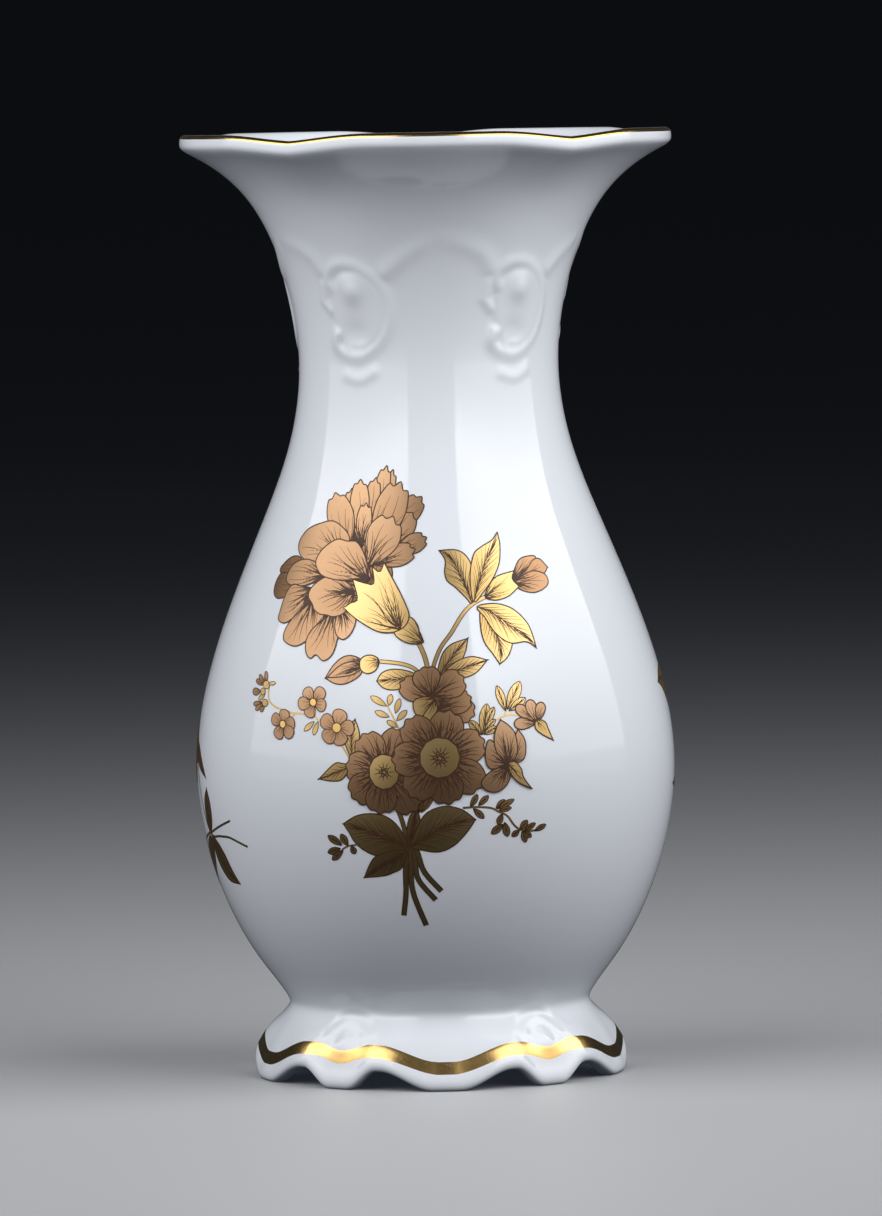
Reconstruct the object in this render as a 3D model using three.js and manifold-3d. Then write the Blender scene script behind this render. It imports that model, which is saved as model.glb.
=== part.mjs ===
// A slip-cast porcelain vase with a five-lobed mouth and foot, and its fired gold decoration.
// Millimetres, +Z up. The origin is on the ground at the centre of the foot, and the front faces -Y.
import * as THREE from 'three';
import { mergeVertices } from 'three/addons/utils/BufferGeometryUtils.js';
import Module from 'manifold-3d';

// Driving dimensions
const HEIGHT = 200;
const MOUTH_R = 52.5;
const NECK_R = 27.5;
const NECK_Z = 152;
const BELLY_R = 50.8;
const BELLY_Z = 67.5;
const WAIST_R = 31.9;
const WAIST_Z = 15.4;
const FOOT_R = 39.9;
const WALL = 3;

// Five lobes run round the mouth and the foot, and one of them is at the front.
const LOBES = 5;
const LOBE_ANGLE = 360 / LOBES;
const MOUTH_DIP = 1.4;
const MOUTH_DRAW_IN = 0.036;
const MOUTH_FADE_Z = 168;
const NOTCH_FADE_Z = 184;
const TOE_DRAW_IN = 0.022;
const ARCH_RISE = 4;

// The gold lies on the glaze with a hair of clearance.
const FILM_GAP = 0.05;
const FILM = 0.15;
const MOTIF_GAP = 0.2;

const SEGMENTS = 60;
const LONG_SPAN = 7;

const porcelain = new THREE.MeshStandardMaterial({ color: 0xe6e9f0, roughness: 0.08, metalness: 0 });
const brightGold = new THREE.MeshStandardMaterial({ color: 0xd9b052, roughness: 0.25, metalness: 1 });
const bronzeGold = new THREE.MeshStandardMaterial({ color: 0xa86f45, roughness: 0.3, metalness: 1 });

const radians = THREE.MathUtils.degToRad;
const smooth = THREE.MathUtils.smoothstep;

// ---- The wall ---------------------------------------------------------------------------

// The outer wall from the hem of the foot up to the top of the lip, as radius and height.
const outerCurve = new THREE.SplineCurve([
  [FOOT_R - 0.5, 0], [FOOT_R, 1.4], [39, 3.8], [38, 6.2], [35.4, 10.6], [WAIST_R + 0.3, 14], [WAIST_R + 0.3, 16.8],
  [37.6, 24.1], [44.7, 36.8], [49.4, 52], [BELLY_R, BELLY_Z], [48.5, 83], [42.9, 100.5],
  [35.6, 118.4], [29.9, 134], [NECK_R, NECK_Z], [29, 164.5], [33, 177.4], [39.3, 187.6],
  [45.3, 192.85], [49.2, 195.2], [51.4, 196.4], [MOUTH_R, 197.5], [MOUTH_R, 198.5], [MOUTH_R - 0.2, 199.4],
  [MOUTH_R - 1.1, HEIGHT],
].map(([r, z]) => new THREE.Vector2(r, z)));
const spans = outerCurve.points.length - 1;
// Design points of the outer wall, counted from the hem, where a feature starts or ends.
const BAND_LOW = 2;
const BAND_HIGH = 3;
const FLOOR_EDGE = 7;
const PAINT_LOW = 7;
const PAINT_HIGH = 14;
const THROAT = 20;
const RIM_LOW = 23;
const RIM_HIGH = 24;

// The hollow under the foot, from its middle out to the inner edge of the hem.
const recessCurve = new THREE.SplineCurve([
  [0.01, 16.6], [10, 16.4], [20, 15.4], [28.2, 12.4], [32.6, 8], [35.4, 3.2], [FOOT_R - 3.4, 0],
].map(([r, z]) => new THREE.Vector2(r, z)));

// Degrees from the middle of the nearest big lobe: 0 on a lobe, 36 half way to the next.
function fromLobe(angle) {
  const turn = THREE.MathUtils.euclideanModulo(angle, LOBE_ANGLE);
  return Math.min(turn, LOBE_ANGLE - turn);
}

// How far the hem is lifted: an arch on each side of a big lobe, with a small toe between two arches.
function archAt(angle) {
  const a = fromLobe(angle);
  return smooth(a, 6, 21) * (1 - smooth(a, 24, 32));
}

// How deep the mouth dips between two lobes, from 0 on a lobe to 1 in the middle of the dip, where it is creased.
function notchAt(angle) {
  const fromDip = LOBE_ANGLE / 2 - fromLobe(angle);
  return (1 - smooth(fromDip, -5, 21)) / (1 - smooth(0, -5, 21));
}

// A point of the wall at a radius, a height and an angle in degrees from the front, with the lobes on it.
function wallPoint(radius, height, angle) {
  const valley = (1 - Math.cos(radians(LOBES * angle))) / 2;
  const notch = notchAt(angle);
  const mouth = smooth(height, MOUTH_FADE_Z, HEIGHT);
  const crease = smooth(height, NOTCH_FADE_Z, HEIGHT);
  const foot = 1 - smooth(height, 0, WAIST_Z);
  const r = radius * (1 - mouth * MOUTH_DRAW_IN * (0.6 * valley + 0.4 * notch) - foot * TOE_DRAW_IN * valley);
  const z = height - crease * MOUTH_DIP * notch + foot * ARCH_RISE * archAt(angle);
  const a = radians(angle);
  return new THREE.Vector3(r * Math.sin(a), -r * Math.cos(a), z);
}

// A point on the outer wall, moved out square to its profile. The parameter runs from 0 to 1 up the wall.
function onWall(t, angle, out) {
  const along = outerCurve.getTangent(t);
  const p = outerCurve.getPoint(t).add(new THREE.Vector2(along.y, -along.x).multiplyScalar(out));
  return wallPoint(p.x, p.y, angle);
}

// A ring of points: the same function at each of the angles.
function ring(pointAt) {
  return Array.from({ length: SEGMENTS }, (_, i) => pointAt(i * 360 / SEGMENTS));
}

// A closed skin through a list of rings, each four-sided patch split along its shorter diagonal.
// The rings close on themselves, or two poles close the first and the last.
function skin(rings, poles) {
  const points = rings.flat();
  const faces = [];
  const at = (k, i) => k * SEGMENTS + i % SEGMENTS;
  const walls = poles ? rings.length - 1 : rings.length;
  for (let k = 0; k < walls; k++) {
    const next = (k + 1) % rings.length;
    for (let i = 0; i < SEGMENTS; i++) {
      const [a, b, c, d] = [at(k, i), at(k, i + 1), at(next, i + 1), at(next, i)];
      const acShorter = points[a].distanceTo(points[c]) < points[b].distanceTo(points[d]);
      faces.push(...(acShorter ? [a, b, c, a, c, d] : [a, b, d, b, c, d]));
    }
  }
  if (poles) {
    const first = points.length;
    points.push(...poles);
    for (let i = 0; i < SEGMENTS; i++) {
      faces.push(first, at(0, i + 1), at(0, i));
      faces.push(first + 1, at(rings.length - 1, i), at(rings.length - 1, i + 1));
    }
  }
  const geometry = new THREE.BufferGeometry();
  geometry.setFromPoints(points);
  geometry.setIndex(faces);
  return geometry;
}

// Evenly spaced values from a to b, both ends included.
function steps(a, b, count) {
  return Array.from({ length: count + 1 }, (_, k) => a + (b - a) * k / count);
}

// The outer wall's rings between two of its design points: one at each, and one half way along a long span.
function ringsBetween(from, to) {
  const { points } = outerCurve;
  const rings = [];
  for (let i = from; i < to; i++) {
    rings.push(i / spans);
    if (points[i].distanceTo(points[i + 1]) > LONG_SPAN) rings.push((i + 0.5) / spans);
  }
  return [...rings, to / spans];
}

function vaseBody() {
  const recess = steps(1 / 6, 1, 6).map((t) => {
    const p = recessCurve.getPoint(t);
    return ring((angle) => wallPoint(p.x, p.y, angle));
  });
  const outer = ringsBetween(0, spans).map((t) => ring((angle) => onWall(t, angle, 0)));
  const lip = [ring((angle) => wallPoint(MOUTH_R - 2.6, HEIGHT - 0.2, angle))];
  const inner = steps(THROAT, FLOOR_EDGE, THROAT - FLOOR_EDGE).map((i) => (
    ring((angle) => onWall(i / spans, angle, -WALL))));
  const floor = [[28.5, 22.4], [18, 21.2], [8, 20.9]].map(([r, z]) => ring((angle) => wallPoint(r, z, angle)));
  const poles = [new THREE.Vector3(0, 0, 16.6), new THREE.Vector3(0, 0, 20.8)];
  return skin([...recess, ...outer, ...lip, ...inner, ...floor], poles);
}

// ---- The gold ---------------------------------------------------------------------------

// A thin closed film over the outer wall between two of its design points.
function film(from, to) {
  const levels = ringsBetween(from, to);
  const over = levels.map((t) => ring((angle) => onWall(t, angle, FILM_GAP + FILM)));
  const under = levels.map((t) => ring((angle) => onWall(t, angle, FILM_GAP)));
  return skin([...over, ...under.reverse()]);
}

const wasm = await Module();
wasm.setup();

function toSolid(source) {
  const bare = source.clone();
  bare.deleteAttribute('normal');
  bare.deleteAttribute('uv');
  const merged = mergeVertices(bare, 1e-5);
  return new wasm.Manifold(new wasm.Mesh({
    numProp: 3,
    vertProperties: merged.attributes.position.array,
    triVerts: new Uint32Array(merged.index.array),
  }));
}

function toGeometry(solid) {
  const mesh = solid.getMesh();
  const geometry = new THREE.BufferGeometry();
  geometry.setAttribute('position', new THREE.Float32BufferAttribute(mesh.vertProperties, 3));
  geometry.setIndex([...mesh.triVerts]);
  return geometry;
}

// The whole painted height of the wall, as one film that the motifs are cut from.
const paintedWall = toSolid(film(PAINT_LOW, PAINT_HIGH));

// Motif outlines are drawn flat, facing the viewer: x to the right, y up from the ground.

function blossom([x, y], radius, petals, grow = 0) {
  const points = steps(0, 2 * Math.PI, petals * 6).slice(1).map((a) => {
    const r = radius * (0.87 + 0.13 * Math.abs(Math.cos(petals * a / 2))) + grow;
    return new THREE.Vector2(x + r * Math.cos(a), y + r * Math.sin(a));
  });
  return new THREE.Shape(points);
}

function leaf([x0, y0], [x1, y1], width) {
  const along = new THREE.Vector2(x1 - x0, y1 - y0);
  const across = new THREE.Vector2(-along.y, along.x).normalize().multiplyScalar(width);
  const shape = new THREE.Shape();
  shape.moveTo(x0, y0);
  for (const side of [1, -1]) {
    const start = side > 0 ? [x0, y0] : [x1, y1];
    const end = side > 0 ? [x1, y1] : [x0, y0];
    shape.bezierCurveTo(
      start[0] + side * along.x * 0.3 - side * across.x, start[1] + side * along.y * 0.3 - side * across.y,
      end[0] - side * along.x * 0.35 - side * across.x, end[1] - side * along.y * 0.35 - side * across.y,
      end[0], end[1]);
  }
  return new THREE.Shape(shape.getPoints(5));
}

function stem(width, ...path) {
  const curve = new THREE.SplineCurve(path.map(([x, y]) => new THREE.Vector2(x, y)));
  const count = (path.length - 1) * 3;
  const side = (sign) => steps(0, 1, count).map((t) => {
    const tangent = curve.getTangent(t);
    return curve.getPoint(t).add(new THREE.Vector2(-tangent.y, tangent.x).multiplyScalar(sign * width / 2));
  });
  return new THREE.Shape([...side(-1), ...side(1).reverse()]);
}

// Outlines pushed straight back through the front of the wall, seen from an angle round the vase.
const PRISM_FRONT = 60;
const PRISM_DEPTH = 50;
function stamp(outlines, view = 0) {
  const prisms = outlines.map((outline) => {
    const prism = new THREE.ExtrudeGeometry(outline, { depth: PRISM_DEPTH, bevelEnabled: false });
    prism.rotateX(Math.PI / 2);
    prism.translate(0, -PRISM_FRONT + PRISM_DEPTH, 0);
    prism.rotateZ(radians(view));
    return toSolid(prism);
  });
  return wasm.Manifold.union(prisms);
}

const carnation = (grow) => [
  blossom([-17.5, 112], 12.6, 9, grow), blossom([-11, 119], 8.6, 7, grow), blossom([-24, 103], 9.4, 7, grow),
];
const roses = (grow) => [
  blossom([0.7, 71], 9.8, 7, grow), blossom([-10.6, 68], 8, 6, grow),
  blossom([0.4, 83], 6.4, 5, grow), blossom([14.2, 71], 5.2, 4, grow),
];
const rosebud = (grow) => [blossom([20.3, 107.4], 4, 3, grow)];
const fallenBud = (grow) => [blossom([-19, 89], 3, 3, grow)];

const upperFoliage = [
  leaf([-4.6, 95], [-15.5, 108], 9), stem(1.2, [-5.5, 96], [-2.6, 92], [-1, 88]),
  stem(1.1, [-0.6, 88], [1.6, 93.5], [8, 102.4], [15.5, 105.6]),
  leaf([8.3, 102], [1.9, 113], 4.6), leaf([8.2, 102.4], [13.6, 116], 4.6),
  leaf([8.4, 102.2], [20.6, 93], 5.6), leaf([9.4, 102.2], [14, 90], 4.4), blossom([15, 105.8], 2, 3),
  stem(1, [-13.5, 90], [-7, 89.6], [-1.2, 88]), leaf([-2, 88.6], [-12.6, 87], 4),
  leaf([0.8, 87.6], [6.9, 94.8], 4), leaf([1, 87.4], [11, 90.4], 4), blossom([-0.6, 88], 2.2, 3),
];
const lowerFoliage = [
  leaf([-6.5, 52.6], [-18.6, 57], 7), leaf([-6.5, 52.6], [-14.8, 46], 6), leaf([-6.2, 52.6], [8, 57.8], 6.5),
  stem(1, [-6.4, 54], [-7, 47], [-7, 37.6]), stem(1, [-6, 54], [-5.2, 46], [-2.8, 35.6]),
  stem(1, [-5.6, 54], [-3, 46], [-0.2, 40.8]), stem(1, [-5, 54], [-1.6, 47], [0.8, 42]),
  blossom([-6, 53], 2.6, 5),
];
const forgetMeNots = [
  stem(0.7, [-35.2, 85], [-34, 81.4], [-30.4, 79], [-24.5, 76.5], [-19, 73.6]),
  blossom([-25.3, 82.4], 3, 5), blossom([-20.3, 77], 3.4, 5), blossom([-31.3, 77.3], 3, 5),
  blossom([-35.2, 85.4], 2.4, 5), stem(0.7, [-25.3, 82], [-25, 79], [-24, 76.4]),
];
const smallSprig = [
  leaf([10.6, 76.6], [12.2, 82.4], 3.4), stem(0.7, [10.8, 77.2], [14, 79], [18, 79.8], [21.8, 76.6]),
  leaf([14.6, 79.6], [17, 85.4], 3), blossom([19.6, 79.2], 2.8, 4), leaf([20.6, 78], [24, 74.6], 3),
];
const trailingSprig = [
  stem(0.8, [10.4, 60.4], [14, 58.6], [18, 56.4], [22.2, 56]), leaf([14, 58.6], [16.6, 53], 2.6),
  leaf([16, 57.6], [19.4, 60.4], 2.4), leaf([18.6, 56.4], [21, 52.4], 2.4), leaf([11, 60], [13, 56.6], 2.4),
];
// The two sprays at the sides, each drawn as seen from its own angle round the vase.
const LEFT_VIEW = -80;
const RIGHT_VIEW = 95;
const leftSpray = [
  stem(0.9, [-1, 72], [2.4, 62], [4.6, 52.6], [2, 44]), leaf([3.6, 53], [0.5, 64], 4),
  leaf([4.6, 52.6], [14, 42], 4.4), stem(0.8, [4.6, 52.6], [9, 54.4], [12.4, 57]),
  stem(0.8, [4.6, 52.6], [11, 52], [15, 50.4]), blossom([-4, 74], 6.4, 6), leaf([-1, 70], [-12, 62], 6),
  leaf([2.4, 62], [-7, 52], 5),
];
const rightSpray = [
  stem(0.9, [0, 94], [-1, 82], [1, 71], [3, 60]), leaf([-1, 79], [-20, 84], 5), leaf([0.6, 72], [-16, 73], 4.4),
  leaf([2.4, 62], [-14, 64], 3.6), blossom([0, 92], 7.4, 7), blossom([5.4, 80], 6.4, 6), leaf([1.4, 70], [11, 64], 5),
];

// ---- The assembly -----------------------------------------------------------------------

const vase = new THREE.Group();

function addPiece(name, geometry, material) {
  const mesh = new THREE.Mesh(geometry, material);
  mesh.name = name;
  vase.add(mesh);
}

function addMotif(name, outlines, material, around = [], view = 0) {
  const drawn = stamp(outlines, view);
  const shape = around.length ? drawn.subtract(stamp(around, view)) : drawn;
  addPiece(name, toGeometry(paintedWall.intersect(shape)), material);
}

addPiece('vase_body', vaseBody(), porcelain);
addPiece('rim_gold_line', film(RIM_LOW, RIM_HIGH), brightGold);
addPiece('foot_gold_band', film(BAND_LOW, BAND_HIGH), brightGold);

addMotif('carnation', carnation(0), bronzeGold, [leaf([-4.6, 95], [-15.5, 108], 9.5)]);
addMotif('rose_cluster', roses(0), bronzeGold);
addMotif('rosebud', rosebud(0), bronzeGold);
addMotif('nodding_bud', fallenBud(0), bronzeGold);
addMotif('upper_foliage', upperFoliage, brightGold,
  [...roses(MOTIF_GAP), ...rosebud(MOTIF_GAP), ...fallenBud(MOTIF_GAP)]);
addMotif('lower_foliage', lowerFoliage, brightGold, roses(MOTIF_GAP));
addMotif('forget_me_nots', forgetMeNots, brightGold, roses(MOTIF_GAP));
addMotif('small_sprig', smallSprig, brightGold, roses(MOTIF_GAP));
addMotif('trailing_sprig', trailingSprig, brightGold, roses(MOTIF_GAP));
addMotif('left_spray', leftSpray, brightGold, [], LEFT_VIEW);
addMotif('right_spray', rightSpray, brightGold, [], RIGHT_VIEW);

export default vase;
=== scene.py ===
"""A slip-cast porcelain vase: lobed mouth and foot, moulded scrolls on the neck, a printed gold bouquet.

Lengths are millimetres of the maker's drawing until a mesh is made. The vase stands on z = 0, its front
faces -Y, and a place on the painted wall is (u, z): the arc length round the wall from the front, and the
height. Every shape is a grid of two parameters, worked out as whole arrays.
"""

import math

import bpy
import numpy as np
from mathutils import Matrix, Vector


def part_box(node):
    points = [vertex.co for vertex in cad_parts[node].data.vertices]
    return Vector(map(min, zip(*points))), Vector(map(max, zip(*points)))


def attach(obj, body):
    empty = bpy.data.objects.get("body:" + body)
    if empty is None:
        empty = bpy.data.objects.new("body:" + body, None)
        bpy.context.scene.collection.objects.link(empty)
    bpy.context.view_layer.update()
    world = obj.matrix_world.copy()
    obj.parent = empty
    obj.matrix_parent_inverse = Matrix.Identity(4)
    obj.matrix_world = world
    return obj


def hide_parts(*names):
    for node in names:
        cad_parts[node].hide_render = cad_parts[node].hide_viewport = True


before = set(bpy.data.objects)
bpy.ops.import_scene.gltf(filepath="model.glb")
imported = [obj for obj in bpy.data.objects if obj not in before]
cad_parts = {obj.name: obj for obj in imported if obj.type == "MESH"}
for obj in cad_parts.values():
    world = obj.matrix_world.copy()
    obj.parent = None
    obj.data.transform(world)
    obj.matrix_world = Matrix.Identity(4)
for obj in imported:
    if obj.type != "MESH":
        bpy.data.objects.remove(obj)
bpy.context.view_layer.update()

# ---- Driving dimensions -----------------------------------------------------------------------

DRAWN_HEIGHT = 200.0
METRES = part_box("vase_body")[1].z / DRAWN_HEIGHT
MOUTH_R = 52.5
LIP_R = 51.4
FOOT_R = 39.9
WALL = 3.0
WAIST_Z = 15.4
FLOOR_Z = 20.8
INNER_WALL_Z = (193.8, 25.0)

LOBES = 5
MOUTH_DIP = 1.4
MOUTH_DRAW_IN = 0.036
MOUTH_FADE_Z = 168.0
CREASE_FADE_Z = 184.0
TOE_DRAW_IN = 0.022
ARCH_RISE = 4.0

# How the glaze is divided: columns round it, and millimetres between the rows of each stretch.
COLUMNS = 350
GLAZE_STEP = 2.2
RELIEF_STEP = 0.6
MOUTH_STEP = 1.0
LIP_STEP = 0.35
LIP_Z = 195.5

# Heights over the glaze: the lowest gold, the step from one gold to the next, the parts of a line, and what
# lies under the glaze.
FILM_LIFT = 0.03
LAYER = 0.005
FILM_EDGE_DROP = 0.002
LINE_HEIGHT = 0.003
LINE_SIDE = 0.0005
LINE_KEEL = -0.01
BURIED = -0.02

# The gold line on the lip and the gold band round the foot.
LIP_LINE_Z = 199.15
LIP_LINE_LIFT = 0.05
BAND_Z = 4.8
BAND_RISE = 3.4
BAND_FALL = 1.6
BAND_HALF_WIDTH = 1.35
BAND_LIFT = 0.04

# Two tall diffusers. The heights at which their glow changes are in metres, as the shader reads them.
BOX_AZIMUTH = 60
BOX_STRENGTH = 3.75
LEFT_SHARE = 0.9
RIGHT_SHARE = 1.08
BOX_DIM = 0.08
BOX_RISE = (0.2, 0.58)
BOX_EDGE = (0.100, 0.112)
BOX_EDGE_SHARE = 0.28
BOX_FALL = (0.55, 1.0)
BOX_TOP = 0.66
BOX_DISTANCE = 700
BOX_WIDTH = 1170
BOX_LOW = 17
BOX_HIGH = 1250
WORLD = 0.04
WORLD_COLOUR = (0.68, 0.8, 1.0, 1)

# The floor and its backdrop, in millimetres.
FLOOR_REACH = 2600
SWEEP_R = 900
BACKDROP_TOP = 2400
FLOOR_COLUMNS = 96
FLOOR_RING_R = 400
FLOOR_PALE = (0.56, 0.57, 0.59)
# Painted shade: the far floor and backdrop are coloured near-black to stand for a dark, unlit surround.
FLOOR_PAINTED_DARKNESS = (0.02, 0.02, 0.024)

# The camera, in metres and degrees.
CAMERA_DISTANCE = 1.8
CAMERA_HEIGHT = 0.21
CAMERA_TURN = -1.7
CAMERA_ROLL = -1.0
CAMERA_SIDE = 0.0017
AIM_HEIGHT = 0.0987
LENS = 251.2

# ---- Curves -----------------------------------------------------------------------------------


def smooth(x, low, high):
    """0 below low, 1 above high, and 3t^2 - 2t^3 between them."""
    t = np.clip((np.asarray(x, float) - low) / (high - low), 0, 1)
    return t * t * (3 - 2 * t)


def bell(distance, width):
    """A Gaussian hill of height 1, its shoulder at the width."""
    return np.exp(-0.5 * (distance / width) ** 2)


def arc_lengths(points):
    """How far along a polyline each of its points is."""
    return np.concatenate([[0], np.cumsum(np.linalg.norm(np.diff(points, axis=0), axis=1))])


def evenly(points, count):
    """The same polyline through count points at equal steps of its length."""
    s = arc_lengths(points)
    at = np.linspace(0, s[-1], count)
    return np.stack([np.interp(at, s, column) for column in np.transpose(points)], axis=1)


def fair_curve(points, count):
    """The natural cubic spline through the points, with the chord length as its parameter."""
    p = np.asarray(points, float)
    n = len(p)
    h = np.linalg.norm(np.diff(p, axis=0), axis=1)[:, None]
    slope = np.diff(p, axis=0) / h
    system = np.eye(n)
    inside = np.arange(1, n - 1)
    system[inside, inside - 1] = h[:-1, 0]
    system[inside, inside] = 2 * (h[:-1, 0] + h[1:, 0])
    system[inside, inside + 1] = h[1:, 0]
    second = np.zeros_like(p)
    second[1:-1] = 6 * np.diff(slope, axis=0)
    second = np.linalg.solve(system, second)
    t = np.linspace(0, n - 1 - 1e-9, count)
    i = t.astype(int)
    f = (t - i)[:, None] * h[i]
    rise = slope[i] - h[i] * (2 * second[i] + second[i + 1]) / 6
    bend = second[i] / 2 + f * (second[i + 1] - second[i]) / (6 * h[i])
    return evenly(p[i] + f * (rise + f * bend), count)


def hand_curve(points, count, closed=False):
    """A Catmull-Rom curve through the points. A point given twice is a sharp corner."""
    p = np.asarray(points, float)
    n = len(p)
    spans = n if closed else n - 1
    t = np.linspace(0, spans - 1e-9, 12 * spans + 1)
    i = t.astype(int)
    f = (t - i)[:, None]
    wrap = (lambda k: k % n) if closed else (lambda k: np.clip(k, 0, n - 1))
    a, b, c, d = (p[wrap(i + k)] for k in (-1, 0, 1, 2))
    curve = b + f * ((c - a) / 2 + f * (a - 2.5 * b + 2 * c - d / 2 + f * (1.5 * (b - c) + (d - a) / 2)))
    return evenly(curve, count + 1)[:-1] if closed else evenly(curve, count)


def corner(u, z):
    """A point given twice, where an outline turns sharply."""
    return [(u, z), (u, z)]


# ---- The wall ---------------------------------------------------------------------------------

# The outer wall, from the hem of the foot up to the top of the lip, as radius and height.
OUTER = fair_curve([
    (FOOT_R - 0.9, 0), (FOOT_R - 0.15, 0.45), (FOOT_R, 1.4), (39, 3.8), (37.8, 6.4), (35.2, 10.6),
    (32.6, 13.8), (31.9, WAIST_Z), (32.6, 17.2), (37.6, 24.1), (44.7, 36.8), (49.4, 52), (50.8, 67.5),
    (48.5, 83), (42.9, 100.5), (35.6, 118.4), (29.9, 134), (27.5, 152), (29, 164.5), (33, 177.4),
    (39.3, 187.6), (45.3, 192.85), (49.2, 195.2), (LIP_R, 196.4), (MOUTH_R - 0.1, 197.4), (MOUTH_R, 198.5),
    (MOUTH_R - 0.2, 199.4), (LIP_R, DRAWN_HEIGHT),
], 4000)
OUTER_ARC = arc_lengths(OUTER)
_TANGENT = np.gradient(OUTER, axis=0)
_TANGENT /= np.linalg.norm(_TANGENT, axis=1)[:, None]
OUTER_NORMAL = np.stack([_TANGENT[:, 1], -_TANGENT[:, 0]], axis=1)

# The hollow under the foot, from its middle out to the inner edge of the hem.
RECESS = fair_curve([
    (0.4, 16.6), (10, 16.4), (20, 15.4), (28.2, 12.4), (32.6, 8), (35.4, 3.2), (36.3, 0.6), (36.9, 0),
], 24)

# The lip from its crest down into the mouth, and the inside floor from the foot of the wall to the middle.
LIP = fair_curve([(LIP_R, DRAWN_HEIGHT), (50.5, 199.9), (49.1, 199.3), (47.1, 198)], 8)[1:]
INNER_FLOOR = fair_curve([(28.5, 22.6), (24, 21.5), (18, 21.1), (8, 20.9), (0.4, FLOOR_Z)], 9)


def on_curve(values, s):
    """The outer wall's values at arc lengths s from the hem."""
    return np.stack([np.interp(s, OUTER_ARC, column) for column in values.T], axis=-1)


def arc_at_height(z):
    """The arc length from the hem at which the outer wall has a height."""
    return np.interp(z, OUTER[:, 1], OUTER_ARC)


def from_lobe(angle):
    """Degrees from the middle of the nearest big lobe: 0 on a lobe, 36 half way to the next."""
    turn = np.degrees(angle) % (360 / LOBES)
    return np.minimum(turn, 360 / LOBES - turn)


def arch(angle):
    """How far the hem is lifted: an arch each side of a big lobe, and a small toe between two arches."""
    a = from_lobe(angle)
    return smooth(a, 4, 21) * (1 - smooth(a, 22.5, 32.5))


def notch(angle):
    """The dip between two lobes of the mouth: its sides fall ever steeper to a soft crease in the middle."""
    from_dip = 180 / LOBES - from_lobe(angle)
    return (1 - smooth(from_dip, -5, 21)) / (1 - smooth(0, -5, 21))


def lobed(r, z, angle):
    """A point of the round wall with the lobes of mouth and foot on it."""
    valley = (1 - np.cos(LOBES * angle)) / 2
    dip = notch(angle)
    mouth = smooth(z, MOUTH_FADE_Z, DRAWN_HEIGHT)
    crease = smooth(z, CREASE_FADE_Z, DRAWN_HEIGHT)
    foot = 1 - smooth(z, 0, WAIST_Z)
    radius = r * (1 - mouth * MOUTH_DRAW_IN * (0.6 * valley + 0.4 * dip) - foot * TOE_DRAW_IN * valley)
    height = z - crease * MOUTH_DIP * dip + foot * ARCH_RISE * arch(angle)
    return np.stack([radius * np.sin(angle), -radius * np.cos(angle), height], axis=-1)


def on_wall(s, angle, out):
    """A point at arc length s and an angle, moved out square to the wall's profile."""
    s, angle, out = np.broadcast_arrays(s, angle, out)
    p = on_curve(OUTER, s) + on_curve(OUTER_NORMAL, s) * out[..., None]
    return lobed(p[..., 0], p[..., 1], angle)


def painted(chart, lift):
    """Where a place (u, z) of the drawing lies on the wall, lifted off the glaze."""
    s = arc_at_height(chart[..., 1])
    return on_wall(s, chart[..., 0] / on_curve(OUTER, s)[..., 0], lift)


# ---- Relief -----------------------------------------------------------------------------------

# A scroll cartouche on the neck, drawn as (mm round from its middle, height).
CARTOUCHE_R = 28.8
CARTOUCHE_Z = (146, 180)
TOE_SHELL_R = 36
TOE_SHELL_Z = (5, 20)
SCROLL = hand_curve([
    (-3.4, 167.2), (-4.7, 169), (-4.1, 171), (-1.6, 172.4), (1.2, 172.5), (3.7, 171.5), (6.5, 169.2),
    (8.4, 165.8), (8.9, 161.6), (7.7, 157.9), (5.2, 155.1), (1.4, 153.3), (-2.4, 153.9), (-4.5, 155.8),
    (-3.8, 158),
], 160)
VOLUTE = hand_curve([(-3.6, 158.1), (-2.0, 157.6), (-1.6, 156.2), (-0.9, 154.9)], 30)
BEADS = [hand_curve(points, 12) for points in (
    [(-6.1, 168.4), (-6.6, 166.0)], [(-6.9, 164.9), (-5.2, 162.9)],
)]
SWAGS = [hand_curve(points, 60) for points in (
    [(-5.9, 171.4), (-7.9, 174.2), (-12.2, 176.4), (-16.5, 177.4)],
    [(8.8, 170.9), (11.8, 173.4), (15.8, 176), (19.7, 177.4)],
)]
TAIL_LEAF = hand_curve([(-2.2, 149.2), (1.4, 148.4), (4.9, 149.9)], 30)

# The small ridges round the scroll: each one's line, height, width and how much of the height its end loses.
SMALL_RIDGES = [(bead, 0.42, 0.75, 0) for bead in BEADS] + [(swag, 0.42, 1.3, 0.8) for swag in SWAGS]
SMALL_RIDGES.append((TAIL_LEAF, 0.3, 0.9, 0))


def distance_to(curve, u, z):
    """How far each point of a grid is from a curve, and where on the curve its nearest point is, 0 to 1."""
    apart = np.hypot(u[..., None] - curve[:, 0], z[..., None] - curve[:, 1])
    nearest = apart.argmin(axis=-1)
    return apart.min(axis=-1), nearest / (len(curve) - 1)


def cartouche(u, z):
    """Height of the cartouche: a C-scroll ridge that ends in a volute, round a raised field with a dome above
    and a hollow below, with beads at its open side, a swag each way and a leaf under it."""
    far, along = distance_to(SCROLL, u, z)
    height = (0.44 + 0.4 * bell(along - 1, 0.05)) * bell(far, 1.0)
    far, _ = distance_to(VOLUTE, u, z)
    height = np.maximum(height, 0.38 * bell(far, 0.85))
    field = smooth(1 - np.hypot((u - 1.9) / 7.4, (z - 162.8) / 10), 0.0, 0.3)
    height = np.maximum(height, 0.42 * field)
    height += 0.8 * bell(np.hypot((u - 1.2) / 1.6, (z - 167.0) / 1.9), 1)
    height -= 0.5 * bell(np.hypot((u - 0.9) / 2.0, (z - 157.8) / 1.9), 1)
    for line, top, width, fade in SMALL_RIDGES:
        far, along = distance_to(line, u, z)
        height = np.maximum(height, top * (1 - fade * along) * bell(far, width))
    return height


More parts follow.
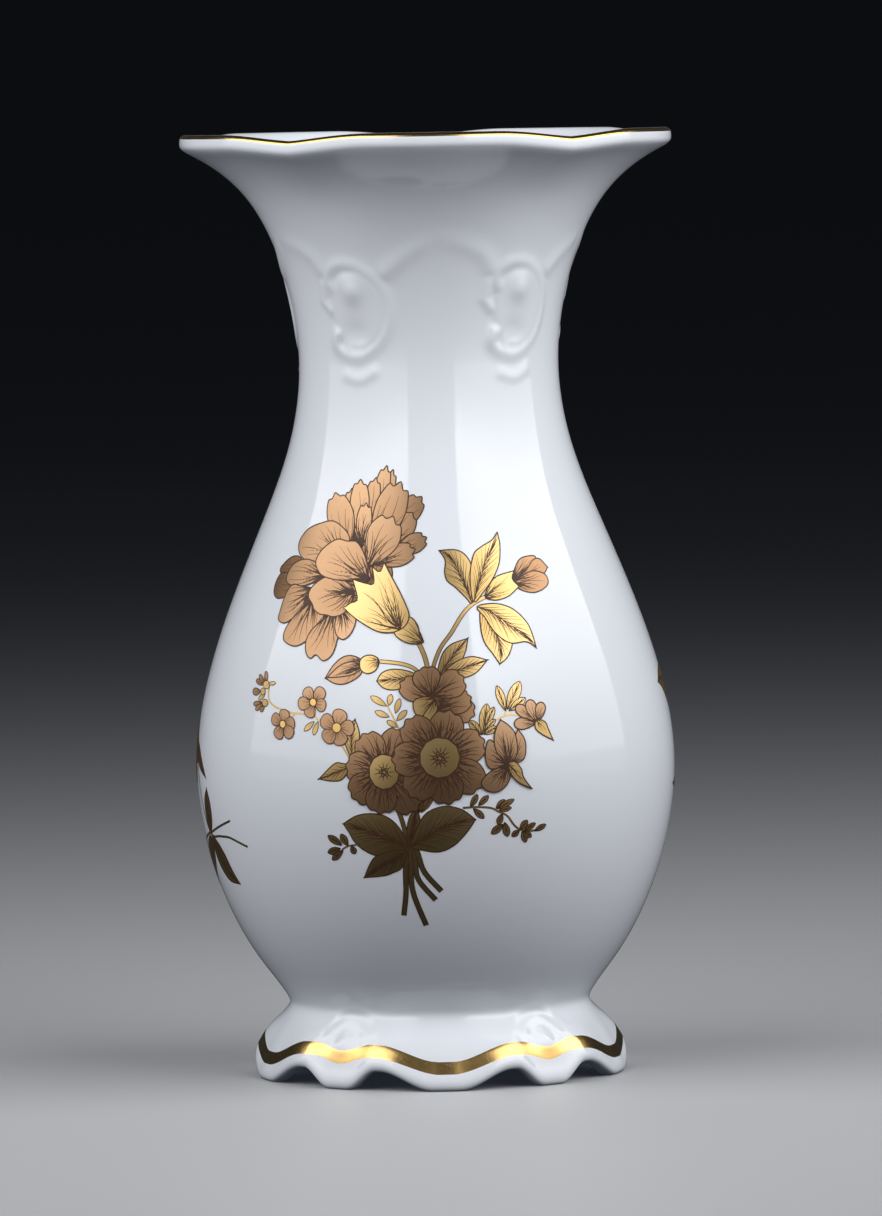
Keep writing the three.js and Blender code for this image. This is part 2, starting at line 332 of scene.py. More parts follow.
def toe_shell(u, z):
    """Height of the little shell above each toe: a round boss inside two arcs that fade downwards."""
    far = np.hypot(u, (z - 9.5) * 1.1)
    boss = 0.45 * bell(far, 1.9)
    inner_arc = 0.3 * bell(far - 4.6, 0.8) * smooth(z, 8.5, 10.5)
    outer_arc = 0.26 * bell(far - 7.4, 0.8) * smooth(z, 9.5, 11.5)
    return boss + inner_arc + outer_arc


def relief(s, angle):
    """Height of the moulded ornament over the plain wall, the same between each two lobes."""
    s, angle = np.broadcast_arrays(s, angle)
    z = on_curve(OUTER, s)[..., 1]
    step = 2 * math.pi / LOBES
    turn = (angle + step) % step - step / 2
    height = np.zeros(s.shape)
    neck = (z > CARTOUCHE_Z[0]) & (z < CARTOUCHE_Z[1])
    height[neck] = cartouche(turn[neck] * CARTOUCHE_R, z[neck])
    foot = (z > TOE_SHELL_Z[0]) & (z < TOE_SHELL_Z[1])
    height[foot] = toe_shell(turn[foot] * TOE_SHELL_R, z[foot])
    return height


# ---- Meshes -----------------------------------------------------------------------------------


def grid_faces(rows, columns, wrap_rows=False, wrap_columns=False):
    """Quads between neighbours on a grid whose point (row, column) has the number row * columns + column."""
    row = np.arange(rows if wrap_rows else rows - 1)[:, None]
    column = np.arange(columns if wrap_columns else columns - 1)[None, :]
    beside = (column + 1) % columns
    here, above = row * columns, (row + 1) % rows * columns
    corners = [here + column, here + beside, above + beside, above + column]
    return np.stack(np.broadcast_arrays(*corners), axis=-1).reshape(-1, 4)


def end_fans(rows, columns):
    """Triangles that close the two ends of a tube, each round one point. The two points follow the grid's."""
    around = np.arange(columns)
    after = (around + 1) % columns
    tip = np.full(columns, rows * columns)
    last = (rows - 1) * columns
    return np.concatenate([np.stack([tip, after, around], axis=1),
                           np.stack([tip + 1, last + around, last + after], axis=1)])


def repeated(faces, copies, size):
    """The faces of one shape for each of its copies, whose points follow each other in blocks."""
    return (faces[None] + size * np.arange(copies)[:, None, None]).reshape(-1, faces.shape[-1])


def build(name, points, faces, finish, nodes=(), slot=None, attributes=(), crease=40):
    """Makes a piece from millimetre points and groups of faces. With a slot it rides on the root body."""
    mesh = bpy.data.meshes.new(name)
    metres = (np.asarray(points).reshape(-1, 3) * METRES).tolist()
    mesh.from_pydata(metres, [], [face for group in faces for face in group.tolist()])
    mesh.validate()
    mesh.update()
    mesh.shade_smooth()
    mesh.set_sharp_from_angle(angle=math.radians(crease))
    for label, values in attributes:
        layer = mesh.attributes.new(label, "FLOAT", "POINT")
        layer.data.foreach_set("value", np.asarray(values, np.float32).ravel())
    mesh.materials.append(finish)
    piece = bpy.data.objects.new(name, mesh)
    bpy.context.scene.collection.objects.link(piece)
    if slot:
        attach(piece, "root")
    if nodes:
        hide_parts(*nodes)
    return piece


# ---- Finishes ---------------------------------------------------------------------------------


class Value:
    """A number that changes over a surface. Arithmetic on it adds Math nodes."""

    def __init__(self, finish, socket):
        self.finish, self.socket = finish, socket

    def _math(self, operation, *terms):
        return self.finish.node("ShaderNodeMath", {"operation": operation}, dict(enumerate(terms)))

    def __add__(self, other):
        return self._math("ADD", self, other)

    __radd__ = __add__

    def __mul__(self, other):
        return self._math("MULTIPLY", self, other)

    __rmul__ = __mul__

    def __sub__(self, other):
        return self._math("SUBTRACT", self, other)

    def __rsub__(self, other):
        return self._math("SUBTRACT", other, self)

    def ramp(self, low, high):
        """0 where the value is below low, 1 above high, smooth between."""
        settings = {"interpolation_type": "SMOOTHSTEP"}
        return self.finish.node("ShaderNodeMapRange", settings, {0: self, 1: low, 2: high})


class Finish:
    """A material under construction: its nodes come from one method, its shader's sockets are set by name."""

    def __init__(self, name):
        self.material = bpy.data.materials.new(name)
        self.material.use_nodes = True
        self.tree = self.material.node_tree
        self.shader = next(n for n in self.tree.nodes if n.type == "BSDF_PRINCIPLED")

    def plug(self, socket, value):
        if isinstance(value, Value):
            self.tree.links.new(value.socket, socket)
        elif hasattr(value, "__len__") and len(value) == 3 and socket.type == "RGBA":
            socket.default_value = (*value, 1)
        else:
            socket.default_value = value

    def node(self, kind, settings=None, inputs=None, output=0):
        made = self.tree.nodes.new(kind)
        for name, value in (settings or {}).items():
            setattr(made, name, value)
        for name, value in (inputs or {}).items():
            self.plug(made.inputs[name], value)
        return Value(self, made.outputs[output])

    def place(self):
        return self.node("ShaderNodeTexCoord", output="Object")

    def noise(self, scale, detail=2.0):
        return self.node("ShaderNodeTexNoise", {}, {"Vector": self.place(), "Scale": scale, "Detail": detail})

    def attribute(self, label):
        return self.node("ShaderNodeAttribute", {"attribute_name": label}, output="Fac")

    def blend(self, amount, first, second):
        settings = {"data_type": "RGBA"}
        return self.node("ShaderNodeMix", settings, {0: amount, 6: first, 7: second}, output=2)

    def bump(self, height, distance):
        return self.node("ShaderNodeBump", {}, {"Height": height, "Distance": distance, "Strength": 1.0})

    def shade(self, **sockets):
        for name, value in sockets.items():
            self.plug(self.shader.inputs[name.replace("_", " ")], value)
        return self.material


def porcelain_finish():
    """Bluish white glaze: a faint unevenness in its gloss, tint and level, and a few pinhead specks."""
    f = Finish("porcelain")
    cloud = f.noise(14.0)
    speck = f.node("ShaderNodeTexVoronoi", {}, {"Vector": f.place(), "Scale": 85.0}, output="Distance")
    rare = f.noise(23.0, 0.0).ramp(0.70, 0.74)
    dots = (1 - speck.ramp(0.03, 0.06)) * rare
    clean = f.blend(cloud, (0.77, 0.805, 0.87), (0.81, 0.835, 0.89))
    ripple = f.noise(45.0, 1.0)
    return f.shade(
        Base_Color=f.blend(dots * 0.5, clean, (0.30, 0.28, 0.27)),
        Roughness=0.05 + 0.03 * cloud,
        IOR=1.52,
        Normal=f.bump(ripple, 0.00006),
    )


def lustre_finish(name, dark, light, roughness, drawn=True):
    """Fired lustre, its gloss broken by fine grain. Drawn lustre is deeper at the root of each petal or leaf
    and paler at its edge, each one a little different. The other drifts with the thickness of the print."""
    f = Finish(name)
    grain = f.noise(2600.0, 2.0)
    if drawn:
        tone = (f.attribute("from_root") * 0.8 + f.attribute("tone") * 0.35 - 0.1).ramp(0.0, 1.0)
    else:
        tone = f.noise(160.0, 3.0).ramp(0.25, 0.75)
    return f.shade(
        Base_Color=f.blend(tone, dark, light),
        Metallic=1.0,
        Roughness=roughness - 0.08 + 0.16 * grain,
        Normal=f.bump(grain, 0.000004),
    )


def line_finish():
    """The dark brown print that the gold is drawn with."""
    f = Finish("print_line")
    grain = f.noise(900.0, 2.0)
    return f.shade(
        Base_Color=f.blend(grain, (0.038, 0.016, 0.008), (0.085, 0.038, 0.019)),
        Roughness=0.36 + 0.1 * grain,
        Specular_IOR_Level=0.25,
    )


def floor_finish():
    """A pale studio floor whose colour is painted darker with distance, a painted shade that stands for the
    unlit dark behind.
    """
    f = Finish("studio_floor")
    distance = f.node("ShaderNodeVectorMath", {"operation": "LENGTH"}, {0: f.place()}, output="Value")
    reach = distance + CAMERA_DISTANCE
    nearness = f.node("ShaderNodeMath", {"operation": "DIVIDE"}, {0: CAMERA_DISTANCE, 1: reach})
    return f.shade(Base_Color=f.blend(nearness.ramp(0.4, 1.0), FLOOR_PAINTED_DARKNESS, FLOOR_PALE), Roughness=0.5)


PORCELAIN = porcelain_finish()
BRIGHT_GOLD = lustre_finish("bright_gold", (0.57, 0.365, 0.125), (0.70, 0.47, 0.18), 0.24, drawn=False)
LEAF_GOLD = lustre_finish("leaf_gold", (0.45, 0.300, 0.115), (0.62, 0.430, 0.195), 0.37)
PALE_COPPER = lustre_finish("pale_copper", (0.31, 0.180, 0.098), (0.41, 0.255, 0.148), 0.40)
DEEP_COPPER = lustre_finish("deep_copper", (0.26, 0.145, 0.078), (0.37, 0.218, 0.121), 0.41)
DARK_COPPER = lustre_finish("shaded_copper", (0.19, 0.108, 0.060), (0.25, 0.145, 0.082), 0.40)
LINE = line_finish()

# ---- The porcelain ----------------------------------------------------------------------------


def rows_up_the_wall():
    """Arc lengths of the outer wall's rows: close together over ornament and lip, wide apart between."""
    stops = [
        (0, RELIEF_STEP), (TOE_SHELL_Z[1], GLAZE_STEP), (CARTOUCHE_Z[0] - 1, RELIEF_STEP),
        (CARTOUCHE_Z[1], MOUTH_STEP), (LIP_Z, LIP_STEP),
    ]
    edges = [arc_at_height(z) for z, _ in stops] + [OUTER_ARC[-1]]
    parts = []
    for (_, step), start, end in zip(stops, edges[:-1], edges[1:]):
        parts.append(np.linspace(start, end, max(2, round((end - start) / step)), endpoint=False))
    return np.concatenate(parts + [[OUTER_ARC[-1]]])


def porcelain_body():
    """One closed skin, row after row: recess, hem, outer wall with its ornament, lip, inner wall, floor."""
    angle = np.linspace(0, 2 * math.pi, COLUMNS, endpoint=False)[None, :]
    s = rows_up_the_wall()[:, None]
    recess = lobed(RECESS[:, :1], RECESS[:, 1:], angle)
    outer = on_wall(s, angle, relief(s, angle))
    lip = lobed(LIP[:, :1], LIP[:, 1:], angle)
    down = np.linspace(*arc_at_height(INNER_WALL_Z), 32)[:, None]
    inner = on_wall(down, angle, -WALL)
    floor = lobed(INNER_FLOOR[:, :1], INNER_FLOOR[:, 1:], angle)
    rings = np.concatenate([recess, outer, lip, inner, floor])
    count = len(rings)
    points = np.concatenate([rings.reshape(-1, 3), [(0, 0, RECESS[0, 1]), (0, 0, FLOOR_Z)]])
    faces = [grid_faces(count, COLUMNS, wrap_columns=True), end_fans(count, COLUMNS)]
    build("porcelain_body", points, faces, PORCELAIN, ["vase_body"], "glazed_porcelain", crease=60)


def gold_ring(name, node, top, bottom, lift, rows=7, columns=480):
    """A thin closed band round the wall between two lines, each an arc length from the hem at every angle."""
    angle = np.linspace(0, 2 * math.pi, columns, endpoint=False)[None, :]
    across = np.linspace(0, 1, rows)[:, None]
    s = bottom(angle) + (top(angle) - bottom(angle)) * across
    swell = lift * (1 - (2 * across - 1) ** 6)
    over = on_wall(s, angle, relief(s, angle) + swell + BURIED / 2)
    under = on_wall(s[::-1], angle, relief(s[::-1], angle) + BURIED)
    faces = grid_faces(2 * rows, columns, wrap_rows=True, wrap_columns=True)
    build(name, np.concatenate([over, under]), [faces], BRIGHT_GOLD, [node], "bright_gold", crease=50)


def foot_band_edge(offset):
    """An edge of the foot's band, as the arc length at which the lifted wall has the height drawn for it."""
    def edge(angle):
        a = from_lobe(angle)
        target = BAND_Z + BAND_RISE * smooth(a, 2, 22) - BAND_FALL * smooth(a, 25, 36) + offset
        height = target.copy()
        for _ in range(12):
            height = target - (1 - smooth(height, 0, WAIST_Z)) * ARCH_RISE * arch(angle)
        return arc_at_height(np.maximum(height, 0.6))
    return edge


def gilding():
    """The gold line along the lip and the wavy gold band round the foot."""
    def level(s):
        return lambda angle: np.full(angle.shape, s)
    lip_edge = arc_at_height(LIP_LINE_Z)
    gold_ring("rim_gilding", "rim_gold_line", level(OUTER_ARC[-1]), level(lip_edge), LIP_LINE_LIFT)
    top, bottom = foot_band_edge(BAND_HALF_WIDTH), foot_band_edge(-BAND_HALF_WIDTH)
    gold_ring("foot_gilding", "foot_gold_band", top, bottom, BAND_LIFT, rows=9)


porcelain_body()
gilding()

# ---- Drawing with gold ------------------------------------------------------------------------

# Points round an outline and along a stroke, and the rings of a film from its middle out to its edge.
EDGE_POINTS = 72
STROKE_POINTS = 9
RING_SHARES = np.append(np.linspace(0.12, 0.96, 8), 1.0)
DRAW = np.random.default_rng(7)


def clockwise(outlines):
    """The outlines, each turned to run clockwise as the viewer sees it, from the same first point."""
    u, z = outlines[..., 0], outlines[..., 1]
    area = (u * np.roll(z, -1, axis=-1) - np.roll(u, -1, axis=-1) * z).sum(axis=-1)
    turned = np.roll(outlines[:, ::-1], 1, axis=1)
    return np.where((area > 0)[:, None, None], turned, outlines)


def left_of(direction):
    """A direction in the drawing, turned a quarter to its left."""
    return np.stack([-direction[..., 1], direction[..., 0]], axis=-1)


def round_about(middle, angle, radius_u, radius_z):
    """Points at angles round a middle, at a reach that may change on the way."""
    return np.stack([middle[0] + radius_u * np.cos(angle), middle[1] + radius_z * np.sin(angle)], axis=-1)


def drawn(*shapes):
    """Closed outlines through given points, the first of which is the root of the petal or leaf."""
    return clockwise(np.stack([hand_curve(points, EDGE_POINTS, closed=True) for points in shapes]))


def blades(rows, pointed=0.5, narrow=0.25, ruffle=0.0, waves=3):
    """Petals or leaflets as (root u, root z, tip u, tip z, width): ovals, narrow at the root, that may end in
    a point or in a ruffle. The outline's parameter runs up one side and down the other."""
    rows = np.asarray(rows, float)
    root, tip = rows[:, None, 0:2], rows[:, None, 2:4]
    turn = np.linspace(0, 2 * math.pi, EDGE_POINTS, endpoint=False)
    t = (1 - np.cos(turn)) / 2
    side = np.sin(turn) * np.abs(np.sin(turn)) ** pointed * t ** narrow
    side = side / side.max()
    t = t * (1 + ruffle * np.cos(waves * math.pi * side) * t ** 3)
    along = tip - root
    across = left_of(along) / np.linalg.norm(along, axis=-1, keepdims=True)
    return root + along * t[:, None] + across * (rows[:, 4:5, None] / 2 * side[:, None])


def round_petals(root, middles, radius, ruffle=0.03, waves=3):
    """Round petals of a flower: each runs from the flower's heart through its own middle."""
    root, middles = np.asarray(root, float), np.asarray(middles, float)
    out = middles - root
    length = np.linalg.norm(out, axis=1)[:, None]
    tips = middles + out / length * radius
    roots, widths = np.tile(root, (len(middles), 1)), np.full((len(middles), 1), 2.15 * radius)
    rows = np.concatenate([roots, tips, widths], axis=1)
    return blades(rows, pointed=0.0, narrow=0.55, ruffle=ruffle, waves=waves)


def disc(middle, radius_u, radius_z, wobble=0.03, bumps=11):
    """A slightly uneven round outline."""
    turn = np.linspace(0, -2 * math.pi, EDGE_POINTS, endpoint=False)
    r = 1 + wobble * np.cos(bumps * turn)
    return round_about(middle, turn, radius_u * r, radius_z * r)[None]


def film_solids(outlines, levels):
    """Thin closed films: rings shrink from each outline to its middle on top, and again underneath."""
    middle = outlines.mean(axis=1, keepdims=True)[:, None]
    shares = np.concatenate([RING_SHARES, [1.0, 0.5]])
    rings = middle + (outlines[:, None] - middle) * shares[:, None, None]
    top = FILM_LIFT + LAYER * np.asarray(levels, float)[:, None]
    upper = np.repeat(top, len(RING_SHARES), axis=1) - FILM_EDGE_DROP * (RING_SHARES == 1)
    lifts = np.concatenate([upper, np.full((len(outlines), 2), BURIED)], axis=1)
    skins = painted(rings, lifts[..., None]).reshape(len(outlines), -1, 3)
    tip_lifts = np.concatenate([top, np.full(top.shape, BURIED)], axis=1)
    tips = painted(np.repeat(middle[:, 0], 2, axis=1), tip_lifts)
    points = np.concatenate([skins, tips], axis=1)
    groups = [grid_faces(len(shares), EDGE_POINTS, wrap_columns=True), end_fans(len(shares), EDGE_POINTS)]
    return points, [repeated(faces, len(outlines), points.shape[1]) for faces in groups]


def ribbon_solids(paths, widths, levels, closed=False):
    """Thin closed ribbons with a lozenge section, left edge, crest, right edge and keel, along each path."""
    around = [np.roll(paths, -1, axis=1), np.roll(paths, 1, axis=1)]
    along = around[0] - around[1] if closed else np.gradient(paths, axis=1)
    along = along / (np.linalg.norm(along, axis=-1, keepdims=True) + 1e-9)
    left = left_of(along) * (widths / 2)[..., None]
    section = np.stack([paths + left, paths, paths - left, paths], axis=2)
    base = FILM_LIFT + LAYER * np.asarray(levels, float)[:, None, None]
    lifts = base + np.array([LINE_SIDE, LINE_HEIGHT, LINE_SIDE, LINE_KEEL])
    points = painted(section, np.broadcast_to(lifts, section.shape[:3])).reshape(len(paths), -1, 3)
    rows, size = paths.shape[1], points.shape[1]
    faces = [repeated(grid_faces(rows, 4, wrap_rows=closed, wrap_columns=True), len(paths), size)]
    if not closed:
        caps = np.array([[3, 2, 1, 0], [size - 4, size - 3, size - 2, size - 1]])
        faces.append(repeated(caps, len(paths), size))
    return points, faces


def merged(parts):
    """Several groups of solids as one: their points end to end, their faces renumbered."""
    points, faces, start = [], [], 0
    for group, group_faces in parts:
        points.append(group.reshape(-1, 3))
        faces.extend(f + start for f in group_faces)
        start += group.size // 3
    return np.concatenate(points), faces


def hatching(outlines, count, begin, reach, width):
    """Strokes that fan out from each petal's root: tapered wedges, and as many fine lines beyond them."""
    petals = len(outlines)
    wedge = np.repeat([True, False], count)
    share = np.tile(np.linspace(0.12, 0.88, count), 2) + np.where(wedge, 0, 0.4 / count)
    share = share + DRAW.uniform(-0.012, 0.012, (petals, 2 * count))
    index = (share * EDGE_POINTS).astype(int)
    target = np.take_along_axis(outlines, np.repeat(index[..., None], 2, axis=2), axis=1)[:, :, None]
    root = outlines[:, None, :1]
    length = reach - begin

    def drawn_share(wedge_range, line_range):
        """A random share for each stroke, from one range for wedges and another for fine lines."""
        wedges, lines = (DRAW.uniform(*bounds, share.shape) for bounds in (wedge_range, line_range))
        return begin + length * np.where(wedge, wedges, lines)[..., None, None]

    start = drawn_share((0, 0.1), (0.15, 0.45))
    end = np.minimum(drawn_share((0.4, 0.9), (0.75, 1.15)), 0.93)
    t = np.linspace(0, 1, STROKE_POINTS)[:, None]
    out = target - root
    side = DRAW.choice([-1, 1], share.shape)[..., None, None]
    bow = left_of(out) * side * 0.03 * (4 * t * (1 - t))
    paths = root + out * (start + (end - start) * t) + bow
    full = np.where(wedge, width * DRAW.uniform(0.6, 1.2, share.shape), 0.45 * width)[..., None]
    thick = full * (1 - t[:, 0]) ** 0.8 + 0.05
    return paths.reshape(-1, STROKE_POINTS, 2), thick.reshape(-1, STROKE_POINTS)


def leaf_veins(outlines, pairs, width):
    """A midrib half way between the two sides of each leaf. Long and short side veins leave it in turn, each
    a quadratic curve that starts nearly along the rib."""
    half = EDGE_POINTS // 2
    t = np.linspace(0, 1, STROKE_POINTS)[:, None]
    paths, widths = [], []
    for outline in outlines:
        tip = 12 + np.linalg.norm(outline[12:-12] - outline[0], axis=1).argmax()
        left = evenly(outline[:tip + 1], half)
        right = evenly(np.concatenate([outline[tip:], outline[:1]]), half)[::-1]
        rib = (left + right) / 2
        paths.append(evenly(rib[:-2], STROKE_POINTS))
        widths.append(np.linspace(width * 1.2, 0.1, STROKE_POINTS))
        for side in (left, right):
            for k, share in enumerate(np.linspace(0.04, 0.74, 2 * pairs)):
                i = int(share * (half - 1))
                j = min(half - 1, i + int(0.27 * half))
                reach = DRAW.uniform(0.2, 0.4) if k % 2 else DRAW.uniform(0.65, 0.93)
                middle = rib[(i + j) // 2]
                bend = middle + (side[(i + j) // 2] - middle) * 0.3 * reach
                end = rib[j] + (side[j] - rib[j]) * reach
                paths.append(rib[i] * (1 - t) ** 2 + bend * 2 * t * (1 - t) + end * t ** 2)
                widths.append(width * (1 - t[:, 0]) * DRAW.uniform(0.35, 0.8) + 0.06)
    return np.stack(paths), np.stack(widths)


class Drawing:
    """One motif of the print, named as the node that it replaces: films of gold laid in order, each over the
    last, and brown lines on them."""

    def __init__(self, name, level=0):
        self.name, self.level = name, level
        self.films, self.stems, self.loops, self.strokes = {}, {}, [], []

    def lay(self, outlines, gold, edge=0.26, hatch=0, begin=0.0, reach=0.6, width=0.3, veins=0, apart=False):
        """Lays films one over another, or all at one level where they lie apart. Each has an outline, and
        hatching or veins where asked."""
        levels = self.level + 1 + np.arange(len(outlines)) * (not apart)
        self.level = levels[-1]
        self.films.setdefault(gold, []).append((outlines, levels))
        if edge:
            self.loops.append((outlines, np.full(outlines.shape[:2], edge), levels))
        if hatch:
            paths, widths = hatching(outlines, hatch, begin, reach, width)
            self.strokes.append((paths, widths, np.repeat(levels, 2 * hatch)))
        if veins:
            paths, widths = leaf_veins(outlines, veins, width)
            self.strokes.append((paths, widths, np.repeat(levels, len(paths) // len(outlines))))

    def stem(self, points, width, gold, edge=0.16):
        """A stem of even width with a line down each side."""
        path = hand_curve(points, 8 * len(points))[None]
        self.level += 1
        self.stems.setdefault(gold, []).append((path, np.full(path.shape[:2], width), [self.level]))
        if edge:
            along = np.gradient(path, axis=1)
            along = along / np.linalg.norm(along, axis=-1, keepdims=True)
            left = left_of(along) * width / 2
            for side in (left, -left):
                line = (path + side, np.full(path.shape[:2], edge), [self.level + 0.4])
                self.stems.setdefault(LINE, []).append(line)

    def scribble(self, paths, widths):
        """Free brown strokes on the film laid last."""
        self.strokes.append((paths, widths, np.full(len(paths), self.level)))

    def make(self):
        """Builds the pieces: one for each gold, one for the brown lines."""
        sides = self.stems.pop(LINE, [])
        for gold in dict.fromkeys([*self.films, *self.stems]):
            groups = self.films.get(gold, [])
            parts = [film_solids(*group) for group in groups]
            parts += [ribbon_solids(*stem) for stem in self.stems.get(gold, [])]
            points, faces = merged(parts)
            per_film = EDGE_POINTS * (len(RING_SHARES) + 2) + 2
            from_root, tone = np.full(len(points), 0.5), np.full(len(points), 0.5)
            start = 0
            for outlines, _ in groups:
                stop = start + per_film * len(outlines)
                films = points[start:stop].reshape(len(outlines), per_film, 3)
                edge = len(RING_SHARES) - 1
                roots = films[:, edge * EDGE_POINTS][:, None]
                far = np.linalg.norm(films - roots, axis=-1)
                from_root[start:stop] = (far / far.max(axis=1, keepdims=True)).ravel()
                tone[start:stop] = np.repeat(DRAW.uniform(0, 1, len(outlines)), per_film)
                start = stop
            slot = "copper_gold" if "copper" in gold.name else "bright_gold"
            label = gold.name if gold.name not in self.name else "gold"
            build(f"{self.name}_{label}", points, faces, gold, [self.name], slot,
                  [("from_root", from_root), ("tone", tone)])
        parts = [ribbon_solids(*loop, closed=True) for loop in self.loops]
        parts += [ribbon_solids(*stroke) for stroke in [*self.strokes, *sides]]
        if parts:
            lines = build(f"{self.name}_lines", *merged(parts), LINE, [self.name])
            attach(lines, "root")


def squiggle(middle, radius, turns, width):
    """A loose coil of brown line at the heart of a flower."""
    t = np.linspace(0, 1, 60)
    a = 2 * math.pi * turns * t
    r = radius * (0.25 + 0.75 * t) * (1 + 0.25 * np.sin(5.3 * a))
    return round_about(middle, a, r, r)[None], np.full((1, 60), width)


def stamens(middle, inner, outer, count, width):
    """Short strokes that stand round the heart of a flower."""
    a = np.linspace(0, 2 * math.pi, count, endpoint=False) + DRAW.uniform(-0.06, 0.06, count)
    r = inner + (outer - inner) * np.linspace(0, 1, STROKE_POINTS)[None, :] * DRAW.uniform(0.6, 1, (count, 1))
    return round_about(middle, a[:, None], r, r), np.tile(np.linspace(width, 0.08, STROKE_POINTS), (count, 1))


# ---- The bouquet ------------------------------------------------------------------------------


# The calyx lies over every film of the carnation.
CARNATION_FILMS = 28


def carnation():
    """The big carnation: shaded petals at the far left, then ragged tongues and fans, nearest last."""
    d = Drawing("carnation")
    d.lay(drawn(
        [(-14, 104), (-18, 100.5), (-23, 100.5), (-25.5, 104.5), (-23.5, 110.5), (-18, 114), (-12.5, 113.5),
         (-9.6, 109.5), (-10.5, 105.5)],
    ), DARK_COPPER, hatch=24, reach=0.9, width=0.4)
    d.lay(drawn(
        [(-31, 110), (-32, 111.6), (-34.5, 111.5), (-37, 110.1), (-38.2, 108.8), (-37.3, 108), (-34.5, 108)],
        [(-31.5, 106), (-33.5, 107.8), (-35.4, 108.3), (-37.8, 108), (-39.3, 106.3), (-39.8, 104.2),
         (-38.6, 103), (-36.4, 103.2), (-33.6, 103.9)],
    ), DARK_COPPER, hatch=9, reach=0.75, width=0.25)
    d.lay(blades([
        (-13.5, 116, -8.9, 129.3, 3.2), (-14, 116, -10.2, 130.1, 3.4), (-15.5, 115.5, -12.6, 127.7, 3.4),
        (-11, 116, -3.1, 123.8, 5.0), (-17.8, 114.5, -18.1, 125.5, 4.4), (-17, 115, -16.1, 127.3, 4.4),
        (-10.5, 114, -5.1, 120.6, 5.2), (-19, 112.5, -22.3, 124.5, 6.6),
    ], pointed=0.1, narrow=0.5, ruffle=0.03), PALE_COPPER, hatch=8, reach=0.86, width=0.32)
    d.lay(blades([
        (-13.8, 112, -7.4, 126.6, 6.6), (-16.4, 113.5, -14.9, 122.5, 3.4), (-9.5, 112.5, -2.4, 115.6, 4.0),
        (-14, 110.4, -4.9, 113.2, 4.6), (-15, 109.5, -9.2, 119.6, 7.2),
    ], pointed=0.0, narrow=0.5, ruffle=0.04), PALE_COPPER, hatch=11, reach=0.84, width=0.38)
    d.lay(drawn(
        [(-20.5, 112), (-18.9, 115.9), (-22.3, 118.9), (-26, 118.6), (-30, 117.1), (-32.4, 114.3),
         (-31.4, 111.6), (-27.3, 110.6)],
        [(-24.3, 108), (-27.5, 110.6), (-30.8, 111.1), (-34, 109.8), (-35.7, 107.4), (-35, 106), (-32, 105.6),
         (-28.5, 106.2)],
        [(-27.3, 105), (-30.5, 105.5), (-33.5, 105.9), (-35.6, 104), (-37.2, 100.4), (-37.6, 98.7), (-36, 98),
         (-33.6, 98.9), (-30.3, 101.5)],
        [(-28.2, 103), (-32, 100.3), (-35, 97.3), (-35.9, 95), (-34.5, 93.8), (-32, 93.5), (-29, 94.9),
         (-26, 97.1), (-25.2, 99.8), (-26.4, 101.8)],
    ), PALE_COPPER, hatch=13, reach=0.86, width=0.44)
    d.lay(drawn(
        [(-22.8, 101.4), (-24.6, 99.4), (-28, 97), (-29.6, 94.6), (-29.6, 92.2), (-28.5, 91), (-27.1, 91.8),
         (-25.4, 90.6), (-23.4, 91.7), (-22.2, 94.2), (-21.6, 97.4)],
        [(-20.8, 101.4), (-22.4, 98.6), (-22.2, 96), (-20.6, 95), (-18.8, 96.3), (-17.7, 98.8), (-18.3, 101)],
    ), PALE_COPPER, hatch=13, reach=0.88, width=0.36)
    d.lay(drawn(
        [(-18, 104.6), (-20.3, 107), (-24.3, 107.7), (-28, 105.7), (-29.1, 103.7), (-28, 102), (-27.6, 101),
         (-26.2, 100.1), (-24.4, 99.9), (-22.6, 99.6), (-20, 100.7)],
        [(-14.5, 107.2), (-15.1, 111.3), (-17, 114.7), (-19.4, 115), (-22, 115.3), (-25.6, 113.2),
         (-27.3, 110.6), (-26.2, 108.4), (-24.3, 107.5), (-20, 106.9)],
    ), PALE_COPPER, hatch=14, reach=0.74, width=0.44)
    d.make()


